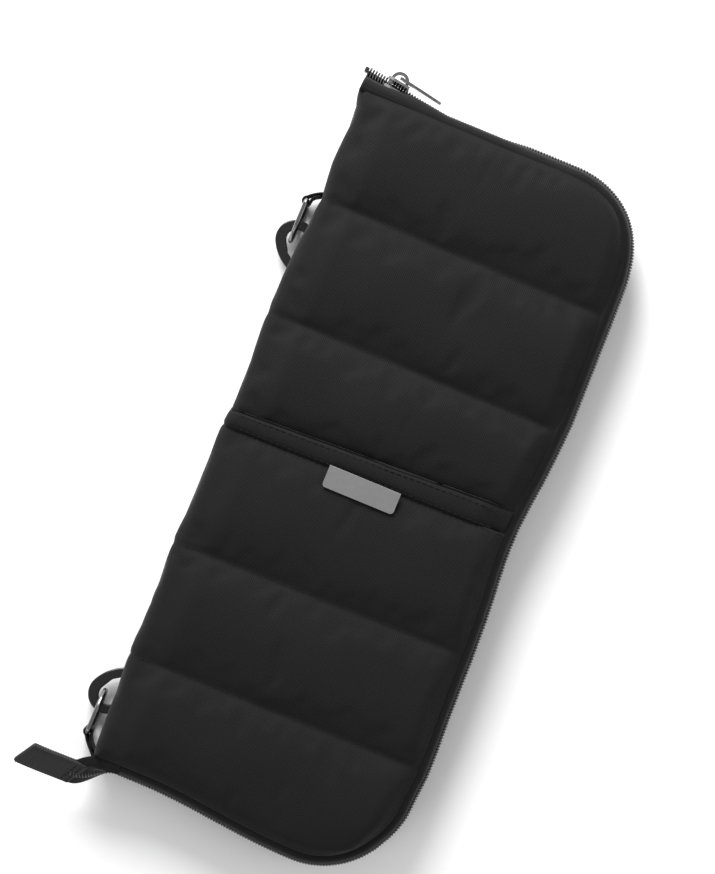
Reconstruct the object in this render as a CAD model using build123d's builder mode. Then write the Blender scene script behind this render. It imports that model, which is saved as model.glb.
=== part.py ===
from build123d import *
import os
from math import cos, radians, sin

os.makedirs("parts", exist_ok=True)

# A book-style bag for drum sticks, lying on its back on its folded shoulder strap.
# +X runs from the spine to the zip side, +Y towards the slider's end, +Z out of the front cover.
# All sizes are millimetres. The origin is under the middle of the whole object's box.

# Covers
spine_x = -79.0  # outer face of the covers at the spine
mid_y = -1.4  # middle of the covers' length
cover_width = 194.3
right_x = spine_x + cover_width
top_y = mid_y + 229
bottom_y = mid_y - 229
corner_r = 50.5
waist_y = mid_y - 8
waist_depth = 5
waist_half = 150
bow_rise = 7.5
bow_end_x = spine_x + 35

# Heights of the layers, from the surface the bag lies on
strap_hank_z = 3.6
back_z = 4.0
back_shell_top = 11.6
foam_thick = 3.4
lining_thick = 0.8
chain_z = 23.9
front_shell_z = 2 * chain_z - back_shell_top
front_crest_z = 42.2
pocket_gap = 4.6
pocket_floor_z = front_shell_z + 1.2
pocket_panel_z = pocket_floor_z + pocket_gap
pocket_crest_z = pocket_panel_z + 3.4
quilt_dip = 2.2

# Quilting: six channels across the covers
channel_pitch = 78.4
seams = [mid_y + i * channel_pitch for i in range(-3, 4)]
hem_rise = 3.5  # the seam under the pocket's hem sits above the others' pitch
seams[3] += hem_rise
hem_width = 14

# Spine
spine_thick = 1.8
hinge_gap = 0.4
spine_top_z = 41.0

# Zip
chain_out = 5.0  # from the panel's edge to the middle of the chain
coil_deep = 2.9
coil_tall = 2.2
chain_half = 3.6
tape_thick = 0.8
tape_straight = 2.8
knee_x = spine_x + 56
ear_x = spine_x - 0.5
zip_slope = 0.1423
zip_end_x = spine_x + 22
stop_long = 2.6

# Slider and puller
slider_x = spine_x + 12
slider_long = 15
slider_half = 5.8
plate_thick = 1.6
outer_gap = 0.75
inner_gap = 0.35
post_half = 1.1
bridge_wide = 3.0
bridge_tall = 6.2
bridge_thick = 2.0
puller_long = 29
puller_wide = 7
puller_eye = 8.6
pin_r = 1.1

# Rings, their tabs and the snap hooks of the shoulder strap
ring_wire_r = 1.6
ring_half = 14.1
ring_reach = 27
ring_x = spine_x - 5.6
ring_z = ring_half + ring_wire_r  # the rings stand on the surface
webbing = 24.4
upper_bar_y = mid_y + 151.5
lower_bar_y = mid_y - 210
hook_z = 7.55
hook_thick = 4.5
hook_inner_r = 6.3
hook_hole_x = 0.7  # the hole is off centre, so the bend is thickest on the outside
hook_outer_r = 12.7
hook_turn = 30
hook_back = 25  # from a ring's bar to the middle of its hook's bend
neck_r = 1.6
recess_z = 11.1
strap_thick = 1.6


def save(piece, name):
    """Label a finished piece and write it as its own file."""
    piece.label = name
    export_step(piece, f"parts/{name}.step")


# ---------------------------------------------------------------- outlines


def zip_line(grow, start_x, end_x):
    """Lines round the zip side, grow outside the panel's edge, from the top edge to the bottom edge."""
    right = right_x + grow
    top = top_y + grow
    bottom = bottom_y - grow
    corner = corner_r + grow
    dip_x = right - waist_depth / 2
    bow_mid_x = (right - corner + bow_end_x) / 2
    top_edge = Line((start_x, top), (right - corner, top))
    top_turn = TangentArc(top_edge @ 1, (right, top - corner), tangent=top_edge % 1)
    side = Line(top_turn @ 1, (right, waist_y + waist_half))
    waist_in = TangentArc(side @ 1, (dip_x, waist_y + waist_half / 2), tangent=side % 1)
    waist = TangentArc(waist_in @ 1, (dip_x, waist_y - waist_half / 2), tangent=waist_in % 1)
    waist_out = TangentArc(waist @ 1, (right, waist_y - waist_half), tangent=waist % 1)
    low_side = Line(waist_out @ 1, (right, bottom + corner))
    low_turn = TangentArc(low_side @ 1, (right - corner, bottom), tangent=low_side % 1)
    bow_in = TangentArc(low_turn @ 1, (bow_mid_x, bottom + bow_rise / 2), tangent=low_turn % 1)
    bow_out = TangentArc(bow_in @ 1, (bow_end_x, bottom + bow_rise), tangent=bow_in % 1)
    Line(bow_out @ 1, (end_x, bottom + bow_rise))
    return (start_x, top), (end_x, bottom + bow_rise)


def panel_sketch(inset, left_x):
    """The outline of one layer of a cover, inset from the panel's edge."""
    with BuildSketch() as outline:
        with BuildLine():
            start, end = zip_line(-inset, left_x, left_x)
            Line(end, start)
        make_face()
    return outline.sketch


def quilt_sketch(first, last, flat_z, valley_z, crest_z):
    """Side view of the channels between two seams: flat on one side, puffed on the other."""
    with BuildSketch() as section:
        with BuildLine():
            for low, high in zip(seams[first:last], seams[first + 1 : last + 1]):
                ThreePointArc((low, valley_z), ((low + high) / 2, crest_z), (high, valley_z))
            Polyline(
                (seams[first], valley_z),
                (seams[first], flat_z),
                (seams[last], flat_z),
                (seams[last], valley_z),
            )
        make_face()
    return section.sketch


def across(y_from, y_to, z_from, z_to):
    """A plain block over the covers' whole width, between two places along them."""
    block = Box(cover_width + 20, y_to - y_from, z_to - z_from, mode=Mode.PRIVATE)
    return Pos(spine_x + cover_width / 2, (y_from + y_to) / 2, (z_from + z_to) / 2) * block


# ---------------------------------------------------------------- hook places


def hook_centre(side):
    """Middle of a hook's bend: side is 1 for the upper hook and -1 for the lower one."""
    bar_y = upper_bar_y if side > 0 else lower_bar_y
    return Vector(spine_x - 3.5, bar_y - side * hook_back, hook_z)


def hook_plane(side):
    """Plane of a hook: its y axis points from the shank to the bend."""
    turn = radians(hook_turn)
    return Plane(hook_centre(side), x_dir=(cos(turn), side * sin(turn), 0), z_dir=(0, 0, side))


def shank_plane(side):
    """Upright plane along a hook's shank: its x axis points away from the bend, its y axis up."""
    turn = radians(hook_turn)
    along = Vector(sin(turn), -side * cos(turn), 0)
    return Plane(hook_centre(side), x_dir=along, z_dir=(along.Y, -along.X, 0))


def hook_room(side):
    """The hollow pressed into the back over a hook and the start of the strap."""
    room = hook_plane(side).offset(-side * (hook_z + 1) if side > 0 else -(recess_z - hook_z))
    with BuildPart() as hollow:
        with BuildSketch(room):
            Circle(hook_outer_r + 3)
            with Locations((0, -46)):
                Rectangle(33.5, 96)
        extrude(amount=recess_z + 1)
    return hollow.part


# ---------------------------------------------------------------- back cover

with BuildPart() as back_shell:
    with BuildSketch(Plane.XY.offset(back_z)):
        add(panel_sketch(0, spine_x - spine_thick))
    extrude(amount=back_shell_top - back_z)
    with BuildSketch(Plane.YZ.offset(spine_x - 10)):
        add(quilt_sketch(0, 6, back_shell_top, back_z + quilt_dip, back_z))
    extrude(amount=cover_width + 20, mode=Mode.INTERSECT)
    add(hook_room(1), mode=Mode.SUBTRACT)
    add(hook_room(-1), mode=Mode.SUBTRACT)
save(back_shell.part, "back_shell")


def cover_layer(name, inset, left, z_from, thick):
    """A flat layer of a cover: foam or lining."""
    with BuildPart() as layer:
        with BuildSketch(Plane.XY.offset(z_from)):
            add(panel_sketch(inset, spine_x + left))
        extrude(amount=thick)
    save(layer.part, name)


lining_z = back_shell_top + foam_thick
cover_layer("back_foam", 2.0, 2.0, back_shell_top, foam_thick)
cover_layer("back_lining", 3.0, 3.0, lining_z, lining_thick)

inside_z = lining_z + lining_thick
inside_top_z = 2 * chain_z - inside_z

with BuildPart() as spine_panel:
    with BuildSketch(Plane.XY.offset(back_shell_top)):
        with Locations((spine_x - spine_thick / 2, (top_y + bottom_y + bow_rise) / 2)):
            Rectangle(spine_thick, top_y - bottom_y - bow_rise - 3)
    extrude(amount=spine_top_z - back_shell_top)
    fillet(spine_panel.edges().filter_by(Axis.Y).group_by(Axis.Z)[-1], radius=0.7)
save(spine_panel.part, "spine_panel")

with BuildPart() as spine_lining:
    with BuildSketch(Plane.XY.offset(inside_z)):
        with Locations((spine_x + lining_thick / 2, (top_y + bottom_y + bow_rise) / 2)):
            Rectangle(lining_thick, top_y - bottom_y - bow_rise - 8)
    extrude(amount=inside_top_z - inside_z)
save(spine_lining.part, "spine_lining")


# ---------------------------------------------------------------- stick pockets inside the back cover

pocket_left = spine_x + 12
pocket_right = spine_x + 180
pocket_bottom = mid_y - 206
pocket_mouth = mid_y + 104
wall_thick = 1.2
sheet_top_z = inside_top_z - 0.5
sheet_z = sheet_top_z - 0.9


def pocket_block(left, right, bottom, top, z_from, z_to):
    """An upright block between two places across and two places along the bag."""
    block = Box(right - left, top - bottom, z_to - z_from, mode=Mode.PRIVATE)
    return Pos((left + right) / 2, (bottom + top) / 2, (z_from + z_to) / 2) * block


with BuildPart() as stick_pocket_sheet:
    with BuildSketch(Plane.XY.offset(sheet_z)):
        with Locations(((pocket_left + pocket_right) / 2, (pocket_bottom + pocket_mouth) / 2)):
            RectangleRounded(pocket_right - pocket_left, pocket_mouth - pocket_bottom, 6)
    extrude(amount=sheet_top_z - sheet_z)
save(stick_pocket_sheet.part, "stick_pocket_sheet")

with BuildPart() as stick_pocket_gusset:
    add(pocket_block(pocket_left, pocket_right, pocket_bottom, pocket_mouth, inside_z, sheet_z))
    add(
        pocket_block(
            pocket_left + wall_thick,
            pocket_right - wall_thick,
            pocket_bottom + wall_thick,
            pocket_mouth + 1,
            inside_z,
            sheet_z,
        ),
        mode=Mode.SUBTRACT,
    )
save(stick_pocket_gusset.part, "stick_pocket_gusset")

divider_xs = [pocket_left + (pocket_right - pocket_left) * i / 3 for i in (1, 2)]
with BuildPart() as stick_pocket_dividers:
    for x in divider_xs:
        add(
            pocket_block(
                x - wall_thick / 2,
                x + wall_thick / 2,
                pocket_bottom + wall_thick,
                pocket_mouth,
                inside_z,
                sheet_z,
            )
        )
save(stick_pocket_dividers.part, "stick_pocket_dividers")

with BuildPart() as stick_pocket_hem:
    add(pocket_block(pocket_left, pocket_right, pocket_mouth, pocket_mouth + 1.6, sheet_z - 1, sheet_top_z))
    fillet(stick_pocket_hem.edges().filter_by(Axis.X), radius=0.6)
save(stick_pocket_hem.part, "stick_pocket_hem")


# ---------------------------------------------------------------- front cover

front_left = spine_x + hinge_gap

with BuildPart() as front_shell:
    with BuildSketch(Plane.XY.offset(front_shell_z)):
        add(panel_sketch(0, front_left))
    extrude(amount=front_crest_z - front_shell_z)
    with BuildSketch(Plane.YZ.offset(spine_x - 10)):
        add(quilt_sketch(3, 6, front_shell_z, front_crest_z - quilt_dip, front_crest_z))
        with BuildLine():
            Polyline(
                (seams[0], front_shell_z),
                (seams[3] + hem_width, front_shell_z),
                (seams[3] + hem_width, pocket_floor_z),
                (seams[0], pocket_floor_z),
                close=True,
            )
        make_face()
    extrude(amount=cover_width + 20, mode=Mode.INTERSECT)
    add(
        across(seams[3] - 1, seams[3] + hem_width + 6, pocket_floor_z, front_crest_z + 1),
        mode=Mode.SUBTRACT,
    )
save(front_shell.part, "front_shell")

cover_layer("front_foam", 2.0, 2.6, front_shell_z - foam_thick, foam_thick)
cover_layer("front_lining", 3.0, 3.4, front_shell_z - foam_thick - lining_thick, lining_thick)

pocket_rim = 4.0
with BuildPart() as front_pocket:
    with BuildSketch(Plane.XY.offset(pocket_floor_z)):
        add(panel_sketch(0.8, front_left))
    extrude(amount=pocket_crest_z - pocket_floor_z)
    with BuildSketch(Plane.YZ.offset(spine_x - 10)):
        add(quilt_sketch(0, 3, pocket_floor_z, pocket_crest_z - quilt_dip, pocket_crest_z))
    extrude(amount=cover_width + 20, mode=Mode.INTERSECT)
    with BuildSketch(Plane.XY.offset(pocket_floor_z)):
        add(panel_sketch(0.8 + pocket_rim, front_left + pocket_rim))
    extrude(amount=pocket_gap, mode=Mode.SUBTRACT)
save(front_pocket.part, "front_pocket")

hem_thick = 3.6
with BuildPart() as front_pocket_hem:
    with BuildSketch(Plane.XY.offset(pocket_floor_z)):
        add(panel_sketch(0.8, front_left))
    extrude(amount=pocket_gap + hem_thick)
    add(
        across(seams[3], seams[3] + hem_width, pocket_floor_z, pocket_panel_z + hem_thick),
        mode=Mode.INTERSECT,
    )
    with BuildSketch(Plane.XY.offset(pocket_floor_z)):
        with Locations((spine_x + cover_width / 2 - 1.3, seams[3] + hem_width / 2)):
            Rectangle(cover_width - 16, hem_width + 2)
    extrude(amount=pocket_gap, mode=Mode.SUBTRACT)
    fillet(front_pocket_hem.edges().filter_by(Axis.X).group_by(Axis.Z)[-1], radius=1.0)
save(front_pocket_hem.part, "front_pocket_hem")

label_long = 48
label_tall = 14.4
label_z = pocket_crest_z - 0.7
with BuildPart() as label:
    with BuildSketch(Plane.XY.offset(label_z)):
        with Locations((spine_x + 95.5, seams[3] - label_tall / 2 - 0.1)):
            Rectangle(label_long, label_tall)
        fillet(vertices().group_by(Axis.Y)[0], radius=2.4)
    extrude(amount=1.0)
    fillet(label.edges().group_by(Axis.Z)[-1], radius=0.3)
save(label.part, "label")


# ---------------------------------------------------------------- zip halves


def chain_y(x):
    """Y of the middle of the chain along the top edge: it climbs away from the corner near the spine."""
    return top_y + chain_out + max(0.0, knee_x - x) * zip_slope


def section_plane(x):
    """Upright plane across the bag's length direction: its x axis is +Y and its y axis is +Z."""
    return Plane((x, 0, 0), x_dir=(0, 1, 0), z_dir=(1, 0, 0))


def tape_section(edge_y, middle_y, up):
    """Section of a zip tape from the cover's edge to its coil: up is -1 for the back tape, 1 for the front."""
    half = tape_thick / 2
    edge_z = chain_z + up * (front_shell_z - chain_z)
    coil_z = chain_z + up * chain_half
    bend_z = coil_z + up * tape_straight
    with BuildSketch() as section:
        with BuildLine():
            Polyline(
                (middle_y - half, coil_z),
                (middle_y + half, coil_z),
                (middle_y + half, bend_z),
                (edge_y - half, edge_z),
                (edge_y - 3 * half, edge_z),
                (middle_y - half, bend_z - up * tape_thick),
                close=True,
            )
        make_face()
    return section.sketch


def coil_section(edge_y, middle_y, up):
    """Section of a coil: the bound edge of the teeth, clear of the slider's post."""
    with BuildSketch() as section:
        with Locations((middle_y, chain_z + up * (chain_half - coil_tall / 2))):
            RectangleRounded(coil_deep, coil_tall, 0.8)
    return section.sketch


def zip_half(section, up, name):
    """A tape or a coil: round the zip side, and straight and climbing near the spine."""
    at_knee = section(top_y, chain_y(knee_x), up)
    at_ear = section(top_y, chain_y(ear_x), up)
    with BuildPart() as half:
        with BuildLine() as rail:
            zip_line(0, knee_x, zip_end_x)
        with BuildSketch(section_plane(knee_x)):
            add(at_knee)
        sweep(path=rail.line)
        with BuildSketch(section_plane(knee_x)):
            add(at_knee)
        with BuildSketch(section_plane(ear_x)):
            add(at_ear)
        loft(ruled=True)
    save(half.part, name)


for up, cover in ((-1, "back"), (1, "front")):
    zip_half(tape_section, up, f"zip_tape_{cover}")
    zip_half(coil_section, up, f"zip_coil_{cover}")

    with BuildPart() as zip_stop:
        with BuildSketch(section_plane(ear_x - 0.1)):
            with Locations((chain_y(ear_x), chain_z + up * (chain_half - coil_tall / 2 + 0.3))):
                RectangleRounded(coil_deep + 0.5, coil_tall + 0.9, 0.8)
        extrude(amount=-stop_long)
        fillet(zip_stop.edges().group_by(Axis.X)[0], radius=0.4)
    save(zip_stop.part, f"zip_stop_{cover}")


# ---------------------------------------------------------------- zip tail and its webbing end

tail_height = 23.0
tail_lean = 42
tail_start = Vector(zip_end_x - 0.4, bottom_y + bow_rise - chain_out, chain_z)
tail_end = Vector(spine_x - 5, mid_y - 237.4, chain_z)
tab_end_x = spine_x - 42.8


def tail_plane(place, lean):
    """Plane across the tail, looking along -X, with the strip leaning back by lean degrees."""
    turn = radians(lean)
    return Plane(place, x_dir=(0, cos(turn), -sin(turn)), z_dir=(-1, 0, 0))


with BuildPart() as zip_tail:
    with BuildSketch(tail_plane(tail_start, 0)):
        Rectangle(1.8, tail_height)
    with BuildSketch(tail_plane(tail_end, tail_lean)):
        Rectangle(1.8, tail_height)
    loft(ruled=True)
save(zip_tail.part, "zip_tail")

tab_thick = 3.4
tab_half = (tail_height + 1.4) / 2
tab_long = tail_end.X - tab_end_x
tab_slant = 9.0
with BuildPart() as zip_end_tab:
    across_tail = tail_plane(tail_end, tail_lean)
    with BuildSketch(Plane(tail_end, x_dir=(-1, 0, 0), z_dir=-across_tail.x_dir).offset(-tab_thick / 2)):
        Polygon(
            (0, -tab_half),
            (tab_long - tab_slant, -tab_half),
            (tab_long, tab_half),
            (0, tab_half),
            align=None,
        )
        fillet(vertices().group_by(Axis.X)[0], radius=1.2)
    extrude(amount=tab_thick)
    fillet(zip_end_tab.edges().filter_by(Axis.X), radius=1.2)
save(zip_end_tab.part, "zip_end_tab")


# ---------------------------------------------------------------- slider and puller

slide_dir = Vector(1, -zip_slope, 0).normalized()
slider_plane = Plane((slider_x, chain_y(slider_x), chain_z), x_dir=slide_dir, z_dir=(0, 0, 1))
inner_face = -coil_deep / 2 - inner_gap
outer_face = coil_deep / 2 + outer_gap
plate_top = outer_face + plate_thick
lip_half = tape_thick / 2 + 0.35
lip_z = -chain_half - 0.4


def slider_block(u_from, u_to, v_from, v_to, z_from, z_to):
    """A block in the slider's own frame: u along the chain, v outward, z up."""
    block = Box(u_to - u_from, v_to - v_from, z_to - z_from, mode=Mode.PRIVATE)
    middle = Pos((u_from + u_to) / 2, (v_from + v_to) / 2, (z_from + z_to) / 2)
    return slider_plane.location * middle * block


with BuildPart() as slider_body:
    for face, thick in ((inner_face - plate_thick, plate_thick), (outer_face, plate_thick)):
        plate = Plane(
            slider_plane.from_local_coords((0, face, 0)), x_dir=slide_dir, z_dir=slider_plane.y_dir
        )
        with BuildSketch(plate):
            with BuildLine():
                Polyline(
                    (0, slider_half * 0.72),
                    (4, slider_half),
                    (slider_long, slider_half * 0.8),
                    (slider_long, -slider_half * 0.8),
                    (4, -slider_half),
                    (0, -slider_half * 0.72),
                    close=True,
                )
            make_face()
        extrude(amount=thick)
    add(slider_block(1, 3.8, inner_face, outer_face, -post_half, post_half))
    add(slider_block(2.5, slider_long, lip_half, outer_face, -slider_half * 0.82, lip_z))
    add(slider_block(2.5, slider_long, inner_face, -lip_half, -slider_half * 0.82, lip_z))
save(slider_body.part, "slider_body")

bridge_from, bridge_to = 1.6, 13.4
bridge_mid = (bridge_from + bridge_to) / 2
with BuildPart() as slider_bridge:
    with BuildSketch(slider_plane.offset(-bridge_wide / 2)):
        with BuildLine():
            ThreePointArc(
                (bridge_from, plate_top), (bridge_mid, plate_top + bridge_tall), (bridge_to, plate_top)
            )
            Line((bridge_to, plate_top), (bridge_to - bridge_thick, plate_top))
            ThreePointArc(
                (bridge_to - bridge_thick, plate_top),
                (bridge_mid, plate_top + bridge_tall - bridge_thick),
                (bridge_from + bridge_thick, plate_top),
            )
            Line((bridge_from + bridge_thick, plate_top), (bridge_from, plate_top))
        make_face()
    extrude(amount=bridge_wide)
save(slider_bridge.part, "slider_bridge")

pivot_u = 8.0
pivot_v = plate_top + 2.2
arm_gap = bridge_wide / 2 + 0.4
arm_out = puller_wide / 2
puller_thick = 1.8
puller_rest = 2.4  # degrees that the puller leans in towards the chain
with BuildPart() as puller:
    pivot = slider_plane.from_local_coords((pivot_u, pivot_v, 0))
    rest_dir = slide_dir.rotate(Axis.Z, -puller_rest)
    puller_plane = Plane(pivot, x_dir=rest_dir, z_dir=slider_plane.y_dir.rotate(Axis.Z, -puller_rest))
    with BuildSketch(puller_plane.offset(-puller_thick / 2)):
        with BuildLine():
            Polyline(
                (-pin_r, arm_out - 0.6),
                (puller_eye + 1, arm_out),
                (puller_long - 3, arm_out * 0.55),
                (puller_long, arm_out * 0.3),
                (puller_long, -arm_out * 0.3),
                (puller_long - 3, -arm_out * 0.55),
                (puller_eye + 1, -arm_out),
                (-pin_r, -arm_out + 0.6),
                close=True,
            )
        make_face()
        with Locations(((puller_eye + pin_r) / 2, 0)):
            Rectangle(puller_eye - pin_r, 2 * arm_gap, mode=Mode.SUBTRACT)
    extrude(amount=puller_thick)
save(puller.part, "puller")


# ---------------------------------------------------------------- rings and tabs


def ring_and_tab(side, name, sewn):
    """A D-ring standing on edge beside the spine, and the folded webbing tab that holds its bar."""
    bar_y = upper_bar_y if side > 0 else lower_bar_y
    with BuildPart() as ring:
        with BuildLine() as wire_line:
            turn_y = bar_y - side * (ring_reach - ring_half)
            low, high = ring_z - ring_half, ring_z + ring_half
            FilletPolyline(
                (ring_x, turn_y, low),
                (ring_x, bar_y, low),
                (ring_x, bar_y, high),
                (ring_x, turn_y, high),
                radius=2.4,
            )
            ThreePointArc(
                (ring_x, turn_y, high),
                (ring_x, turn_y - side * ring_half, ring_z),
                (ring_x, turn_y, low),
            )
        with BuildSketch(Plane((ring_x, turn_y, low), z_dir=(0, side, 0))):
            Circle(ring_wire_r)
        sweep(path=wire_line.line)
    save(ring.part, f"{name}_d_ring")

    loop_inner = ring_wire_r + 0.35
    loop_outer = loop_inner + 1.4
    sewn_x = spine_x - spine_thick
    with BuildPart() as tab:
        with BuildSketch(Plane.XY.offset(ring_z - webbing / 2)):
            with Locations((ring_x, bar_y)):
                Circle(loop_outer)
            with BuildLine():
                Polyline(
                    (ring_x - loop_outer + 0.6, bar_y + side * 1.2),
                    (ring_x + loop_outer, bar_y),
                    (sewn_x, bar_y + side * 4),
                    (sewn_x, bar_y + side * sewn),
                    (sewn_x - 2.4, bar_y + side * sewn),
                    (sewn_x - 2.8, bar_y + side * 6.5),
                    close=True,
                )
            make_face()
            with Locations((ring_x, bar_y)):
                Circle(loop_inner, mode=Mode.SUBTRACT)
        extrude(amount=webbing)
    save(tab.part, f"{name}_ring_tab")


ring_and_tab(1, "upper", 22)
ring_and_tab(-1, "lower", 13)


# ---------------------------------------------------------------- snap hooks, swivel eyes and strap ends

shank_y = -22.0
neck_long = 8.0
head_r = 2.5
head_long = 1.6
barrel_r = 3.3
gate_pin_y = -14.6
gate_x = 9.9
cheek_r = 3.3
eye_bar_y = -43.0
eye_half = 14.6
ramp_from = 46.4
ramp_to = 104.0
ramp_turn = 6.5


def snap_hook(side, name):
    """A moulded snap hook with its swivel neck, and its sprung gate on a pin."""
    plane = hook_plane(side)
    half = hook_thick / 2
    hole_left = hook_hole_x - hook_inner_r
    hole_right = hook_hole_x + hook_inner_r
    neck_plane = Plane(plane.from_local_coords((0, shank_y, 0)), z_dir=-plane.y_dir)
    with BuildPart() as hook:
        with BuildSketch(plane.offset(-half)):
            with BuildLine():
                ThreePointArc((-hook_outer_r, 0), (0, hook_outer_r), (hook_outer_r, 0))
                Polyline((hook_outer_r, 0), (hook_outer_r, -1.5), (hole_right, -1.5), (hole_right, 0))
                ThreePointArc((hole_right, 0), (hook_hole_x, hook_inner_r), (hole_left, 0))
                Polyline(
                    (hole_left, 0),
                    (hole_left, -8),
                    (-2.0, -15.5),
                    (7.2, -15.5),
                    (7.2, -17.4),
                    (10.6, -17.4),
                    (3.6, shank_y),
                    (-3.6, shank_y),
                )
                ThreePointArc((-3.6, shank_y), (-11.2, -10.0), (-hook_outer_r, 0))
            make_face()
        extrude(amount=hook_thick)
        fillet(hook.edges().filter_by(GeomType.CIRCLE), radius=0.9)
        with BuildSketch(neck_plane):
            Circle(neck_r)
        extrude(amount=neck_long)
        with BuildSketch(neck_plane.offset(neck_long)):
            Circle(head_r)
        extrude(amount=head_long)
        with BuildSketch(plane.offset(-half)):
            with Locations((gate_x, gate_pin_y)):
                Circle(cheek_r)
        extrude(amount=1.1)
        with BuildSketch(plane.offset(half)):
            with Locations((gate_x, gate_pin_y)):
                Circle(cheek_r)
        extrude(amount=-1.1)
        with BuildSketch(plane.offset(-half)):
            with Locations((gate_x, gate_pin_y)):
                Circle(0.9)
        extrude(amount=hook_thick, mode=Mode.SUBTRACT)
    save(hook.part, f"{name}_hook")

    with BuildPart() as pin:
        with BuildSketch(plane.offset(-half)):
            with Locations((gate_x, gate_pin_y)):
                Circle(0.9)
        extrude(amount=hook_thick)
    save(pin.part, f"{name}_gate_pin")

    with BuildPart() as gate:
        with BuildSketch(plane.offset(-half + 1.3)):
            with BuildLine():
                Polyline(
                    (gate_x - 2.2, gate_pin_y + 0.2),
                    (gate_x - 1.6, -2.0),
                    (gate_x + 2.2, -2.0),
                    (gate_x + 2.4, gate_pin_y + 0.2),
                    close=True,
                )
            make_face()
            with Locations((gate_x, gate_pin_y)):
                Circle(2.3)
                Circle(1.0, mode=Mode.SUBTRACT)
        extrude(amount=hook_thick - 2.6)
        with BuildSketch(plane.offset(-half + 0.5)):
            with Locations((gate_x + 1.6, -7.0)):
                RectangleRounded(3.0, 5.0, 1.0)
        extrude(amount=hook_thick - 1.0)
    save(gate.part, f"{name}_hook_gate")


def swivel_eye(side, name):
    """The eye that the strap's end is sewn round, with a barrel that the hook's neck turns in."""
    plane = hook_plane(side)
    half = hook_thick / 2
    barrel_from = shank_y - 0.5
    slot_top = -34.6
    barrel_plane = Plane(plane.from_local_coords((0, barrel_from, 0)), z_dir=-plane.y_dir)
    bar_plane = Plane(plane.from_local_coords((-eye_half, eye_bar_y, 0)), z_dir=plane.x_dir)
    with BuildPart() as eye:
        with BuildSketch(barrel_plane):
            Circle(barrel_r)
        extrude(amount=barrel_from - slot_top - 1)
        with BuildSketch(plane.offset(-half + 0.2)):
            with BuildLine():
                Polyline(
                    (-4, -29),
                    (4, -29),
                    (eye_half + 1.6, slot_top + 1),
                    (eye_half + 1.6, eye_bar_y - 1.6),
                    (eye_half - 1.6, eye_bar_y - 1.6),
                    (eye_half - 1.6, slot_top),
                    (-eye_half + 1.6, slot_top),
                    (-eye_half + 1.6, eye_bar_y - 1.6),
                    (-eye_half - 1.6, eye_bar_y - 1.6),
                    (-eye_half - 1.6, slot_top + 1),
                    close=True,
                )
            make_face()
        extrude(amount=hook_thick - 0.4)
        with BuildSketch(bar_plane):
            Circle(1.6)
        extrude(amount=2 * eye_half)
        with BuildSketch(barrel_plane):
            Circle(neck_r + 0.2)
        extrude(amount=shank_y + neck_long + barrel_from - 2 * shank_y, mode=Mode.SUBTRACT)
        with BuildSketch(barrel_plane.offset(neck_long - 1.0)):
            Circle(head_r + 0.2)
        extrude(amount=head_long + 0.8, mode=Mode.SUBTRACT)
    save(eye.part, f"{name}_swivel_eye")


def strap_end(side, name):
    """The strap's end: sewn round the eye's bar, then sloping down to the folded strap."""
    along = shank_plane(side)
    drop = (ramp_to - ramp_from) * sin(radians(ramp_turn))
    top = strap_thick / 2
    bar_x = -eye_bar_y
    with BuildPart() as end:
        with BuildSketch(along.offset(-webbing / 2)):
            with Locations((bar_x, 0)):
                Circle(3.2)
            with BuildLine():
                Polyline(
                    (bar_x + 1.5, 2.6),
                    (ramp_from, top),
                    (ramp_to, top - drop),
                    (ramp_to, -top - drop),
                    (ramp_from, -top),
                    (bar_x + 1.5, -2.6),
                    close=True,
                )
            make_face()
            with Locations((bar_x, 0)):
                Circle(1.9, mode=Mode.SUBTRACT)
        extrude(amount=webbing)
    save(end.part, f"strap_end_{name}")
    return end.part


strap_ends = []
for side, name in ((1, "upper"), (-1, "lower")):
    snap_hook(side, name)
    swivel_eye(side, name)
    strap_ends.append(strap_end(side, name))

adjuster_from = 6.0
adjuster_long = 18.0
adjuster_rail = 3.0
adjuster_bar = 3.0
adjuster_thick = 1.4
strap_side = webbing / 2 + 0.4
strap_clear = strap_thick / 2 + 0.35
ramp_plane = Plane(shank_plane(1).location * Pos(ramp_from, 0, 0) * Rot(0, 0, -ramp_turn))
with BuildPart() as strap_adjuster:
    with BuildSketch(ramp_plane.offset(-strap_side - adjuster_rail)):
        with Locations((adjuster_from + adjuster_long / 2, 0)):
            RectangleRounded(adjuster_long, 2 * (strap_clear + adjuster_thick), 1.8)
    extrude(amount=adjuster_rail)
    with BuildSketch(ramp_plane.offset(strap_side)):
        with Locations((adjuster_from + adjuster_long / 2, 0)):
            RectangleRounded(adjuster_long, 2 * (strap_clear + adjuster_thick), 1.8)
    extrude(amount=adjuster_rail)
    low_v = -strap_clear - adjuster_thick / 2
    with BuildSketch(ramp_plane.offset(-strap_side)):
        for u, v in (
            (adjuster_from + 2.5, low_v),
            (adjuster_from + adjuster_long / 2, -low_v),
            (adjuster_from + adjuster_long - 2.5, low_v),
        ):
            with Locations((u, v)):
                Rectangle(adjuster_bar, adjuster_thick)
    extrude(amount=2 * strap_side)
save(strap_adjuster.part, "strap_adjuster")

hank_left = spine_x + 44
hank_right = spine_x + 162
hank_bottom = mid_y - 112
hank_top = mid_y + 56
with BuildPart() as strap_hank:
    with BuildSketch():
        with Locations(((hank_left + hank_right) / 2, (hank_bottom + hank_top) / 2)):
            RectangleRounded(hank_right - hank_left, hank_top - hank_bottom, 3)
    extrude(amount=strap_hank_z)
    for end in strap_ends:
        add(end, mode=Mode.SUBTRACT)
save(strap_hank.part, "strap_hank")
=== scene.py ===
import math

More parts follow.
